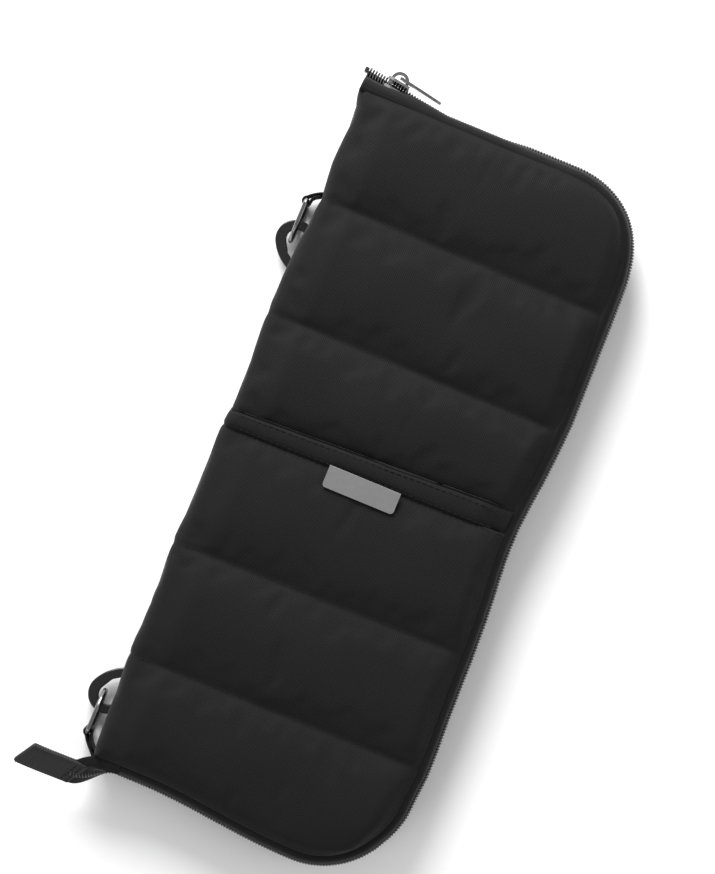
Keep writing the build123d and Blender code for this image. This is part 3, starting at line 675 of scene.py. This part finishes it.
def coil(name, middle, out, rise, start, half_z=2.6, half_n=1.35, leans=None):
    """One half of the zip's coil: a loop for each tooth, rise above the middle of the chain. Start is 0 or
    1, so that the two halves' teeth alternate. Half_z and half_n are half a loop's height and depth.
    Leans are the angles that the chain's outer face is turned up by, along its length."""
    leans = np.zeros(len(middle)) if leans is None else leans
    line = resample(np.column_stack([middle, out, leans]), COIL_PITCH / 2)[start::2]
    place, normal, lean = line[:, : middle.shape[1]], line[:, middle.shape[1] : -1], line[:, -1:]
    normal = normal / np.linalg.norm(normal, axis=1, keepdims=True)
    if place.shape[1] == 2:
        place = np.column_stack([place, np.full(len(place), CHAIN_Z)])
        normal = np.column_stack([normal, np.zeros(len(normal))])
    tangent = np.gradient(place, axis=0)
    tangent /= np.linalg.norm(tangent, axis=1, keepdims=True)
    upward = np.cross(normal, tangent)
    upward /= np.linalg.norm(upward, axis=1, keepdims=True)
    upward *= np.sign(upward[:, 2:3])
    normal, upward = (
        normal * np.cos(lean) + upward * np.sin(lean),
        upward * np.cos(lean) - normal * np.sin(lean),
    )
    ring = np.linspace(0, 2 * math.pi, 10, endpoint=False)
    tube = np.linspace(0, 2 * math.pi, 5, endpoint=False)
    points = []
    for a in ring:
        for b in tube:
            points.append(
                place
                + normal * (half_n * math.cos(a) + COIL_WIRE * math.cos(b) * math.cos(a))
                + upward * (rise + half_z * math.sin(a) + COIL_WIRE * math.cos(b) * math.sin(a))
                + tangent * (COIL_WIRE * math.sin(b) + 0.3 * math.sin(a) * np.sign(rise))
            )
    points = np.stack(points, 1).reshape(-1, 3)
    each = len(ring) * len(tube)
    faces = []
    for i in range(len(ring)):
        for j in range(len(tube)):
            a, b = i * len(tube) + j, i * len(tube) + (j + 1) % len(tube)
            c = ((i + 1) % len(ring)) * len(tube)
            faces.append((a, c + j, c + (j + 1) % len(tube), b))
    faces = np.array(faces)[None] + (np.arange(len(place)) * each)[:, None, None]
    return mesh_object(name, points, faces.reshape(-1, 4), coil_nylon)


tape_front = zip_tape("tape_front", 1)
tape_back = zip_tape("tape_back", -1)
# The chain's outer face shows a little from above all round, and more where it climbs past the corner.
chain_lean = np.radians(14 + 36 * near_ear)
# The coils run a little outside the chain's line, but inside it along the slider's travel, up to TRAVEL_X.
TRAVEL_X = 92
at_slider = (1 - smooth((chain[:, 0] - TRAVEL_X) / 24)) * (chain[:, 1] > 0)
coil_line = chain + edge_out * (0.5 - 1.5 * at_slider)[:, None]
COIL_RISE = 1.75
coil_front = coil("coil_front", coil_line, edge_out, COIL_RISE, 0, leans=chain_lean)
coil_back = coil("coil_back", coil_line, edge_out, -COIL_RISE, 1, leans=chain_lean)

# ---------------------------------------------------------------- tail and webbing end tab

TAIL_END = np.array([-5.0, -237.4, CHAIN_Z])
TAIL_LEAN = math.radians(42)
TAIL_START = np.array([ZIP_END_X + 0.5, float(chain[-1, 1]), CHAIN_Z])


def tail_frame(share):
    """Place, across and outward directions of the tail strip, leaning back as it leaves the bag."""
    bend = smooth(share)
    place = TAIL_START + (TAIL_END - TAIL_START) * np.array([share, bend, share])
    sin, cos = math.sin(TAIL_LEAN * bend), math.cos(TAIL_LEAN * bend)
    return place, np.array([0, sin, cos]), np.array([0, -cos, sin])


TAIL_STEPS = 26
TAIL_ROWS = (-11.6, -11.0, -8, -5, -3.2, -1.6, 0, 1.6, 3.2, 5, 8, 11.0, 11.6)
tail, tail_uv, tail_mid, tail_out = [], [], [], []
for share in np.linspace(0, 1.02, TAIL_STEPS):
    place, across_dir, out_dir = tail_frame(share)
    tail_mid.append(place + out_dir * 0.9)
    tail_out.append(out_dir)
    for w in TAIL_ROWS:
        swell = 0.5 * math.exp(-((w / 3.0) ** 2)) + 0.35 * math.sin(w * 0.5 + share * 7) * (1 - share)
        tail.append(place + across_dir * w + out_dir * swell)
        tail_uv.append((w, share * 30))
tail_faces = grid_faces(TAIL_STEPS, len(TAIL_ROWS))
zip_tail = mesh_object("zip_tail_cloth", tail, tail_faces, tape_cloth, tail_uv)
thicken(zip_tail, 1.4, offset=0.0, subdivide=True)

# The tape's inner borders, front and back, which close the bag's corner and run out along the tail.
TAIL_RIM = 11.0
GUSSET_STEPS, GUSSET_ROWS = 18, 8
BOTTOM_Y = float(edge[-1, 1])
gussets = []
for name, corner_z, rim in (("front", 35.5, TAIL_RIM), ("back", 12.3, -TAIL_RIM)):
    corner_place = np.array([5.5, BOTTOM_Y + 3.0, corner_z])
    cloth_points, cloth_uv = [], []
    for share in np.linspace(0, 1, GUSSET_STEPS):
        place, across_dir, out_dir = tail_frame(share)
        low = place + across_dir * rim * 0.97 + out_dir * 0.2
        start = np.array([ZIP_END_X + 0.5, BOTTOM_Y + 1.5, corner_z + np.sign(rim) * 1.5])
        finish = np.array([TAIL_END[0] - 1.0, low[1] + 1.0, low[2]])
        high = (1 - share) ** 2 * start + 2 * share * (1 - share) * corner_place + share**2 * finish
        for t in np.linspace(0, 1, GUSSET_ROWS):
            bulge = 0.8 * math.sin(math.pi * t) * (1 - share)
            cloth_points.append(low + (high - low) * t + np.array([0, 0, np.sign(rim) * bulge]))
            cloth_uv.append((share * 30, t * 12))
    cloth_faces = grid_faces(GUSSET_STEPS, GUSSET_ROWS)
    gusset_cloth = mesh_object(f"corner_cloth_{name}", cloth_points, cloth_faces, nylon, cloth_uv)
    gussets.append(thicken(gusset_cloth, 0.9, offset=0.0, subdivide=True))
tail_coil = coil("tail_coil", np.array(tail_mid), np.array(tail_out), 0.0, 0, half_z=3.2, half_n=0.9)

# The webbing tab sewn over the tail's end: a ribbed sleeve, rounded at its edges and cut at a slant.
TAB_LONG, TAB_TALL, TAB_HALF = 37.6, 23.8, 1.7
TAB_SLANT = 8.5
TAB_RIB = 1.7
TAB_ROUND = 40
place, across_dir, out_dir = tail_frame(1.0)


def down_tab(w, t):
    """The step from the tail's end to a place t down the tab, at w across it."""
    return np.array([TAB_SLANT * (w / TAB_TALL + 0.5) - t, 0, 0])


ring = []
for a in np.linspace(0, 2 * math.pi, TAB_ROUND, endpoint=False):
    ca, sa = math.cos(a), math.sin(a)
    squared = (abs(ca) ** 0.25 * np.sign(ca), abs(sa) ** 0.25 * np.sign(sa))
    ring.append((squared[0] * TAB_TALL / 2, squared[1] * TAB_HALF))
tab_points, tab_uv = [], []
tab_steps = np.concatenate([[0.0, 0.3], np.arange(1.0, TAB_LONG - 1.0, 0.4), [TAB_LONG - 0.3, TAB_LONG]])
for t in tab_steps:
    close = min(1.0, 0.55 + 0.45 * min(t, TAB_LONG - t) / 0.8)
    rib = 0.16 * math.sin(2 * math.pi * t / TAB_RIB)
    curl = 0.9 * math.sin(t / 13.0)
    for w, h in ring:
        raised = (h + np.sign(h) * rib) * close + curl * (t / TAB_LONG) * (1 - (w / TAB_TALL) ** 2)
        tab_points.append(place + down_tab(w, t) + across_dir * w * close**0.2 + out_dir * raised)
        tab_uv.append((t, w + 30 * (h > 0)))
last_round = (len(tab_steps) - 1) * TAB_ROUND
tab_faces = grid_faces(len(tab_steps), TAB_ROUND, wrap=True).tolist()
tab_faces += [list(range(TAB_ROUND))[::-1], [last_round + k for k in range(TAB_ROUND)]]
end_tab = mesh_object("end_tab_web", tab_points, tab_faces, tab_web, tab_uv)
tab_lines = [
    [place + down_tab(w, t) + across_dir * w + out_dir * 1.95 for w in np.linspace(-10, 10, 9)]
    for t in (3.0, 6.5)
]
tab_stitches = seam_stitches("tab_stitches", tab_lines)

# ---------------------------------------------------------------- inside: padding, linings, stick pockets


LINING_INSET = 2.4


def inner_pad(name, up, cloth_z, foam_z, left):
    """Lining over foam, turned down round its edge to the shell."""
    xs = np.linspace(left, WIDTH - LINING_INSET, 60)
    ys = np.linspace(-HALF + LINING_INSET, HALF - LINING_INSET, 140)
    gx, gy = np.meshgrid(xs, ys)
    px, py = onto_panel(gx, gy, -LINING_INSET)
    rim = np.minimum(np.minimum(WIDTH - LINING_INSET - gx, gx - left), HALF - LINING_INSET - np.abs(gy))
    rise = smooth(rim / 4.0) ** 0.6
    sag = 0.35 * wander(gx / 30, gy / 30, 6 + up) * smooth(rim / 12)
    z = foam_z + (cloth_z - foam_z) * rise + up * (0.3 - sag) * smooth(rim / 12)
    z = np.clip(z, 0, 15.95) if up < 0 else np.clip(z, 31.85, 60)
    piece = grid_object(name, [px, py, z], lining_cloth, [gx, gy], flip=up > 0)
    return thicken(piece, 0.7)


back_pad = inner_pad("back_pad", -1, 15.8, 12.0, 1.2)
front_pad = inner_pad("front_pad", 1, 32.0, 35.8, 1.8)

lining_y = np.linspace(-217, 224, 150)
lining_z = np.array([13.0, 15.0, 17, 20, 24, 28, 31, 33.5, 35.5])
gz, gy = np.meshgrid(lining_z, lining_y)
gx = 0.9 + 0.5 * wander(gy / 18, gz / 9, 2) * np.sin(np.pi * (gz - 13) / 22.5)
spine_cloth = grid_object("spine_cloth", [gx, gy, gz], lining_cloth, [gz, gy], flip=True)
thicken(spine_cloth, 0.6, offset=0.0)

# The stick pockets on the back cover's lining: their sides, their closed end and their mouth.
STICKS_LEFT, STICKS_RIGHT, STICKS_LOW, STICKS_MOUTH = 12.0, 180.0, -206.0, 104.0
LINING_TOP = 15.9
sheet_x = np.linspace(STICKS_LEFT, STICKS_RIGHT, 113)
sheet_y = np.linspace(STICKS_LOW, STICKS_MOUTH + 1.4, 105)
gx, gy = np.meshgrid(sheet_x, sheet_y)
bays = np.abs(np.sin(np.pi * 3 * (gx - STICKS_LEFT) / (STICKS_RIGHT - STICKS_LEFT)))
level = 29.3 + 1.7 * bays**0.6 + 0.25 * wander(gx / 14, gy / 40, 7) * bays
low_end = smooth((gy - STICKS_LOW) / 8.0)
level = 24.0 + (level - 24.0) * low_end
side_fall = smooth((np.minimum(gx - STICKS_LEFT, STICKS_RIGHT - gx)) / 3.0)
level = 27.0 + (level - 27.0) * side_fall
level = np.clip(level, 22, 31.5)
pocket_sheet = grid_object("pocket_sheet", [gx, gy, level], lining_cloth, [gx, gy])
thicken(pocket_sheet, 0.7)


def upright_cloth(name, line, low, high, bulge=0.6):
    """A strip of cloth standing on the lining along a line, softened by a slight bulge."""
    spacing = 4.0
    run = resample(np.asarray(line, float), spacing)
    rows = np.linspace(0, 1, 7)
    points, uv = [], []
    for k, (p, n) in enumerate(zip(run, outward(run))):
        for r in rows:
            swell = bulge * math.sin(math.pi * r) * (0.6 + 0.4 * math.sin(k * 0.37))
            points.append((p[0] + n[0] * swell, p[1] + n[1] * swell, low + (high - low) * r))
            uv.append((k * spacing, r * (high - low)))
    piece = mesh_object(name, points, grid_faces(len(run), len(rows)), lining_cloth, uv)
    return thicken(piece, 0.7, offset=0.0)


gusset_line = [(STICKS_LEFT, STICKS_MOUTH), (STICKS_LEFT, STICKS_LOW)]
gusset_line += [(STICKS_RIGHT, STICKS_LOW), (STICKS_RIGHT, STICKS_MOUTH)]
gusset = upright_cloth("pocket_gusset", gusset_line, LINING_TOP, 27.2)
third = (STICKS_RIGHT - STICKS_LEFT) / 3
dividers, divider_lines = [], []
for i in (1, 2):
    x = STICKS_LEFT + third * i
    line = [(x, STICKS_LOW + 1), (x, STICKS_MOUTH)]
    dividers.append(upright_cloth(f"pocket_divider_{i}", line, LINING_TOP, 29.0, 0.3))
    divider_lines.append([(x, y, 29.55) for y in np.linspace(STICKS_LOW + 4, STICKS_MOUTH - 2, 60)])
binding_points, binding_uv = [], []
for x, z in zip(gx[-1], level[-1]):
    for a in np.linspace(0, 2 * math.pi, 8, endpoint=False):
        binding_points.append((x, STICKS_MOUTH + 0.9 + 0.8 * math.cos(a), z - 0.5 + 0.75 * math.sin(a)))
        binding_uv.append((x, a))
binding_faces = grid_faces(len(sheet_x), 8, wrap=True)
binding = mesh_object("pocket_binding", binding_points, binding_faces, strap_web, binding_uv)
divider_stitches = seam_stitches("divider_stitches", divider_lines)

# ---------------------------------------------------------------- webbing: shoulder strap and ring tabs


WEBBING = 24.4
STRAP_THICK = 1.5


def ribbon(name, path, across, thick=STRAP_THICK, start_cut=0.0, end_cut=0.0):
    """Webbing along a path, across lying along its width. A cut slopes an end for a fold."""
    path = np.asarray(path, float)
    tangent = np.gradient(path, axis=0)
    tangent /= np.linalg.norm(tangent, axis=1, keepdims=True)
    across = np.asarray(across, float)
    across = np.broadcast_to(across / np.linalg.norm(across), path.shape)
    lift = np.cross(tangent, across)
    lift /= np.linalg.norm(lift, axis=1, keepdims=True)
    w, t = WEBBING / 2, thick / 2
    lanes = np.linspace(-w + 0.5, w - 0.5, 7)
    profile = [(-w, 0.0)] + [(a, t) for a in lanes] + [(w, 0.0)] + [(a, -t) for a in lanes[::-1]]
    run = run_along(path)
    share = run / run[-1]
    points, uv = [], []
    for k in range(len(path)):
        for a, h in profile:
            slide = start_cut * a * (1 - share[k]) + end_cut * a * share[k]
            points.append(path[k] + across[k] * a + lift[k] * h + tangent[k] * slide)
            uv.append((run[k] + slide, a))
    n = len(profile)
    faces = grid_faces(len(path), n, wrap=True).tolist()
    faces += [list(range(n))[::-1], [(len(path) - 1) * n + i for i in range(n)]]
    return mesh_object(name, points, faces, strap_web, uv)


def joined(name, pieces):
    """Several pieces as one object."""
    for piece in bpy.context.selected_objects:
        piece.select_set(False)
    for piece in pieces:
        piece.select_set(True)
    bpy.context.view_layer.objects.active = pieces[0]
    bpy.ops.object.join()
    pieces[0].name = name
    return pieces[0]


# The folded strap: its number of runs, the heights of the runs and of the turns on them, and its sides.
RUNS = 6
LOW_Z, HIGH_Z = 0.85, 2.5
RUN_LEFT, RUN_RIGHT = 62.0, 147.0
# The swivel eye's bar that the strap's end is sewn round: how far along the shank, and its height.
EYE_ALONG, EYE_Z = 43.0, 7.55


def shank(side, along, z):
    """A place on the line of a snap hook's shank, measured from the middle of the hook's bend."""
    bar_y = UPPER_BAR_Y if side > 0 else LOWER_BAR_Y
    x = HOOK_X + math.sin(HOOK_TURN) * along
    return (x, bar_y - side * (HOOK_REACH + math.cos(HOOK_TURN) * along), z)


ramp = [(EYE_ALONG, EYE_Z), (46.4, EYE_Z), (90.0, 2.6), (100.0, HIGH_Z)]
upper_ramp = [shank(1, a, z) for a, z in ramp]
lower_ramp = [shank(-1, a, z) for a, z in ramp][::-1]
run_top, run_low = upper_ramp[-1][1], lower_ramp[0][1]
run_gap = (run_top - run_low) / (RUNS - 1)
legs = [upper_ramp]
for i in range(RUNS):
    y = run_top - run_gap * i
    left = upper_ramp[-1][0] if i in (0, RUNS - 1) else RUN_LEFT
    ends = [(left, y, LOW_Z), (RUN_RIGHT, y, LOW_Z)]
    legs.append(ends if i % 2 == 0 else ends[::-1])
    if i < RUNS - 1:
        x = legs[-1][1][0]
        legs.append([(x, y, HIGH_Z), (x, y - run_gap, HIGH_Z)])
legs.append(lower_ramp)


def fold_slope(leg_in, leg_out):
    """How far the ends of two legs slope where the webbing is folded from one into the other."""
    d_in = np.subtract(leg_in[-1], leg_in[-2])[:2]
    d_out = np.subtract(leg_out[1], leg_out[0])[:2]
    turn = math.atan2(d_in[0] * d_out[1] - d_in[1] * d_out[0], float(d_in @ d_out))
    return 1 / math.tan(turn / 2)


strap_parts, strap_route = [], []
for i, leg in enumerate(legs):
    start = -fold_slope(legs[i - 1], leg) if i > 0 else 0.0
    end = fold_slope(leg, legs[i + 1]) if i < len(legs) - 1 else 0.0
    d = np.subtract(leg[-1], leg[0])
    line = resample(np.array(leg), 4.0) if len(leg) > 2 else np.linspace(leg[0], leg[1], 12)
    across = (-d[1], d[0], 0.0)
    strap_parts.append(ribbon(f"strap_{i}", line, across, start_cut=start, end_cut=end))
    strap_route += list(leg)
for side in (1, -1):
    loop = [(54.0, 8.55), (50.0, 8.9), (46.0, 9.6)]
    for a in np.radians(np.linspace(75, 285, 12)):
        loop.append((EYE_ALONG + 2.6 * math.cos(a), EYE_Z + 2.6 * math.sin(a)))
    loop += [(46.0, 5.9), (48.5, 6.4)]
    across = (math.cos(HOOK_TURN), side * math.sin(HOOK_TURN), 0.0)
    line = [shank(side, a, z) for a, z in loop]
    strap_parts.append(ribbon(f"strap_loop_{side}", line, across, thick=1.2))
strap = joined("shoulder_strap", strap_parts)

# The strap's middle line, read off a curve through its route, and its length.
spline_data = bpy.data.curves.new("strap_route", "CURVE")
spline_data.dimensions = "3D"
spline = spline_data.splines.new("NURBS")
spline.points.add(len(strap_route) - 1)
for point, place in zip(spline.points, world(strap_route)):
    point.co = (*place, 1)
spline.order_u = 3
spline.use_endpoint_u = True
spline.resolution_u = 8
route_object = linked("strap_route", spline_data)
bpy.context.view_layer.update()
graph = bpy.context.evaluated_depsgraph_get()
route_mesh = bpy.data.meshes.new_from_object(route_object.evaluated_get(graph))
strap_path = [tuple(v.co) for v in route_mesh.vertices]
bpy.data.objects.remove(route_object)
strap_length = sum(math.dist(a, b) for a, b in zip(strap_path, strap_path[1:]))

# The ring tabs run from the spine round the ring's bar and back. These are the places on the way out and
# back, with Y from the bar's middle.
RING_Z = 15.7
RING_X = -5.6
BAR_WRAP = 2.55
TAB_ROUTES = {
    "upper": (
        1,
        UPPER_BAR_Y,
        [(6.0, 9.4), (2.5, 8.4), (-1.0, 6.6), (-4.6, 4.2)],
        [(-3.3, 2.9), (-0.4, 4.8), (3.0, 6.5)],
    ),
    "lower": (
        -1,
        LOWER_BAR_Y,
        [(7.0, 17.6), (3.0, 13.5), (-1.0, 9.2), (-5.0, 4.8)],
        [(-3.4, 4.2), (-0.2, 7.6), (3.8, 12)],
    ),
}
ring_tabs = {}
for name, (side, bar_y, outer, inner) in TAB_ROUTES.items():
    line = [(x, bar_y + side * y) for x, y in outer]
    for a in np.radians(np.linspace(100, 330, 12)):
        line.append((RING_X + BAR_WRAP * math.cos(a), bar_y + side * BAR_WRAP * math.sin(a)))
    line += [(x, bar_y + side * y) for x, y in inner]
    path = [(x, y, RING_Z) for x, y in line]
    tab = ribbon(f"{name}_tab_web", path, (0, 0, 1))
    with_modifier(tab, "SUBSURF", levels=1, render_levels=1)
    ring_tabs[name] = apply_modifiers(tab)

for piece in (front_quilt, pocket_quilt, back_quilt, pocket_hem, backing, hem_stitches, front_stitches):
    drawn_in(piece)
for piece in (front_pad, back_pad, spine_cloth):
    drawn_in(piece)
for piece in (tape_front, tape_back, coil_front, coil_back):
    drawn_in(piece, spine=False)

# ---------------------------------------------------------------- CAD pieces that stay

CAD_LOOKS = {
    "slider_body": bright_nickel,
    "slider_bridge": dark_nickel,
    "puller": puller_nickel,
    "upper_d_ring": black_nickel,
    "lower_d_ring": black_nickel,
    "upper_hook": acetal,
    "lower_hook": acetal,
    "upper_hook_gate": acetal,
    "lower_hook_gate": acetal,
    "upper_gate_pin": dark_nickel,
    "lower_gate_pin": dark_nickel,
    "upper_swivel_eye": acetal,
    "lower_swivel_eye": acetal,
    "strap_adjuster": acetal,
    "zip_stop_back": coil_nylon,
    "zip_stop_front": coil_nylon,
    "label": plate,
}
for name, material in CAD_LOOKS.items():
    node = nodes[name]
    node.data.materials.clear()
    node.data.materials.append(material)
    node.data.shade_smooth()
    with_modifier(node, "BEVEL", width=0.25 * MM, segments=2, limit_method="ANGLE", angle_limit=0.7)
    with_modifier(node, "WEIGHTED_NORMAL", keep_sharp=True)

# ---------------------------------------------------------------- bodies and lists of pieces by slot

BEND_FROM, BEND_TO = (-2.0, 0.0, 35.5), (5.0, 0.0, 42.5)
for piece in (front_quilt, pocket_quilt, pocket_hem):
    tuple(world(BEND_FROM))
    tuple(world(BEND_TO))
    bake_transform(piece)
for piece in (backing, hem_stitches, front_stitches, tape_front, coil_front, front_pad):
    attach(piece, "front_cover")
root_pieces = [back_quilt, tape_back, coil_back, zip_tail, tail_coil, end_tab, tab_stitches, back_pad]
root_pieces += [spine_cloth, pocket_sheet, gusset, *dividers, binding, divider_stitches, strap]
root_pieces += list(ring_tabs.values()) + gussets
for piece in root_pieces:
    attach(piece, "root")

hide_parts("front_shell", "spine_panel")
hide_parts("front_pocket")
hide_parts("front_pocket_hem")
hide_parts("back_shell")
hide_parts("back_foam", "back_lining")
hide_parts("front_foam", "front_lining")
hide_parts("spine_lining")
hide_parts("stick_pocket_sheet")
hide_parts("stick_pocket_gusset")
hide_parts("stick_pocket_dividers")
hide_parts("stick_pocket_hem")
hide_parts("zip_tape_front")
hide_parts("zip_tape_back")
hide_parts("zip_coil_front")
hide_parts("zip_coil_back")
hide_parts("zip_tail")
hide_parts("zip_end_tab")
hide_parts("strap_hank", "strap_end_upper", "strap_end_lower")
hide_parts("upper_ring_tab")
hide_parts("lower_ring_tab")

slots = {
    "quilted_nylon": [front_quilt, pocket_quilt, pocket_hem, back_quilt, backing, hem_stitches]
    + [front_stitches],
    "lining": [back_pad, front_pad, spine_cloth, pocket_sheet, gusset, *dividers, divider_stitches],
    "webbing": [strap, end_tab, tab_stitches, binding, *ring_tabs.values()],
    "zip_tape": [tape_front, tape_back, zip_tail, *gussets],
    "zip_coil": [coil_front, coil_back, tail_coil],
}
for slot, pieces in slots.items():
    for piece in pieces:
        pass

tuple(world(upper_ramp[0]))

# ---------------------------------------------------------------- floor, lights and camera

FLOOR_REACH = 4.0
FLOOR_DROP = 0.0003
floor_mesh = bpy.data.meshes.new("floor")
floor_corners = [(x * FLOOR_REACH, y * FLOOR_REACH, 0) for x, y in ((-1, -1), (1, -1), (1, 1), (-1, 1))]
floor_mesh.from_pydata(floor_corners, [], [(0, 1, 2, 3)])
floor = linked("floor", floor_mesh)
floor_paint, _, _ = new_material("floor_paint", (0.93, 0.93, 0.93), 0.9)
floor_mesh.materials.append(floor_paint)
floor.location.z = -FLOOR_DROP

world_light = bpy.data.worlds.new("studio")
bpy.context.scene.world = world_light
world_light.use_nodes = True
background = world_light.node_tree.nodes["Background"]
background.inputs["Color"].default_value = (1, 1, 1, 1)
background.inputs["Strength"].default_value = 0.5

# The photo looks straight down, turned by VIEW_TURN. VIEW_TALL metres fill the frame's taller side.
VIEW_TURN = math.radians(22.4)
VIEW_TALL = 0.5471
AIM = world((80.7, 25.9, 40.0))
CAMERA_FAR = 2.4
UP = np.array([-math.sin(VIEW_TURN), math.cos(VIEW_TURN), 0.0])
RIGHT = np.array([math.cos(VIEW_TURN), math.sin(VIEW_TURN), 0.0])


def soft_light(name, offset, size, energy):
    """A round soft light aimed at the bag, offset to the view's right, to its top and upwards."""
    light = bpy.data.lights.new(name, "AREA")
    light.shape = "DISK"
    light.size = size
    light.energy = energy
    lamp = linked(name, light)
    place = AIM + RIGHT * offset[0] + UP * offset[1] + np.array([0, 0, offset[2]])
    lamp.location = place
    lamp.rotation_euler = Vector(place - AIM).to_track_quat("Z", "Y").to_euler()


soft_light("key", (-0.35, 1.7, 0.95), 1.3, 84.0)
soft_light("side", (1.5, -0.5, 1.2), 1.2, 7.0)
soft_light("low", (-1.4, -1.0, 1.1), 1.2, 7.0)

camera_data = bpy.data.cameras.new("camera")
camera = linked("camera", camera_data)
camera.location = AIM + np.array([0, 0, CAMERA_FAR])
camera.rotation_euler = (0, 0, VIEW_TURN)
camera_data.sensor_width = 36.0
camera_data.lens = camera_data.sensor_width * CAMERA_FAR / VIEW_TALL
camera_data.clip_end = 50.0
bpy.context.scene.camera = camera
bpy.context.scene.view_settings.view_transform = "Standard"
